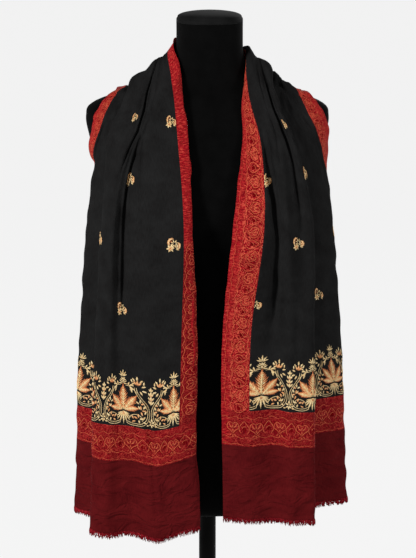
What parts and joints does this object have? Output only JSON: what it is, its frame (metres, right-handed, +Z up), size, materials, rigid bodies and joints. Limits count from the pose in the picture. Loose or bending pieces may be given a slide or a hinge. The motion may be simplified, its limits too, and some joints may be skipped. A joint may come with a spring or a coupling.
{
  "type": "pashmina shawl on dress form",
  "caption": "Embroidered pashmina shawl folded lengthwise and hung round the neck of a limbless dress form that stands on a pole and a round base.",
  "frame": {"origin": "centre of the round base's underside, on the floor", "axes": "+Z up along the pole; the front of the dress form faces -Y; +X is to the right of a viewer who faces the front"},
  "size_m": [0.4487, 0.34, 1.3106],
  "materials": {
    "shawl_field": "fine matte wool, black, with scattered and banded embroidery",
    "shawl_border": "woven red border with a small floral repeat",
    "shawl_end": "plain dark maroon wool with a frayed fringe",
    "form_cover": "smooth matte black stretch cover",
    "form_cap": "smooth black cover over a domed cap",
    "stand_metal": "satin black"
  },
  "bodies": {
    "root": {"end_border_left": "shawl_border", "end_border_right": "shawl_border", "field_back": "shawl_field", "field_left": "shawl_field", "field_right": "shawl_field", "form_neck_cap": "form_cap", "form_torso": "form_cover", "fringe_left": "shawl_end", "fringe_right": "shawl_end", "inner_border_back": "shawl_border", "inner_border_left": "shawl_border", "inner_border_right": "shawl_border", "outer_border_back": "shawl_border", "outer_border_left": "shawl_border", "outer_border_right": "shawl_border", "plain_end_left": "shawl_end", "plain_end_right": "shawl_end", "stand_base": "stand_metal", "stand_pole": "stand_metal"}
  },
  "joints": []
}
